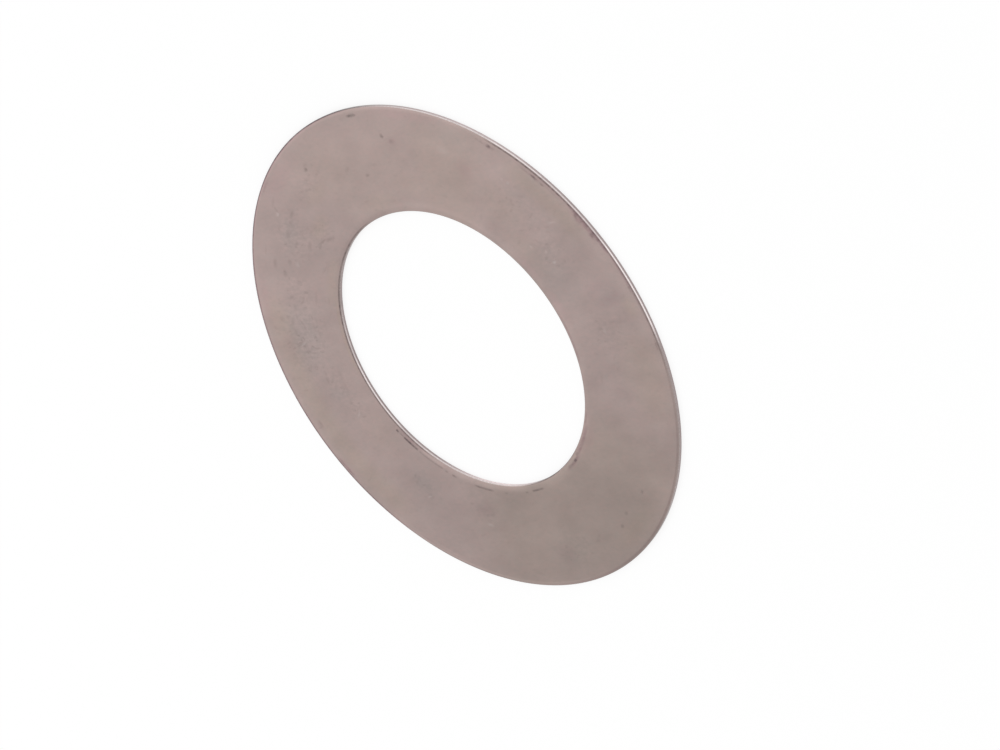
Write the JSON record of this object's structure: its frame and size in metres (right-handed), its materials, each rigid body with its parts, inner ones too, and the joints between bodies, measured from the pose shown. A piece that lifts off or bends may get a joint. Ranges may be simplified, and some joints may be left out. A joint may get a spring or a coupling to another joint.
{
  "type": "shim ring",
  "caption": "Thin flat steel shim ring, blanked from strip, with a plain round bore and both cut edges drawn over on one face.",
  "frame": {"origin": "on the bore's axis, in the under face that the ring lies on", "axes": "+Z along the bore's axis, up through the face on which both cut edges are drawn over"},
  "size_m": [0.035, 0.035, 0.0003],
  "materials": {
    "strip_steel": "cold-rolled strip, dull satin, faintly mottled and lightly stained"
  },
  "bodies": {
    "root": {"shim_ring": "strip_steel"}
  },
  "joints": []
}
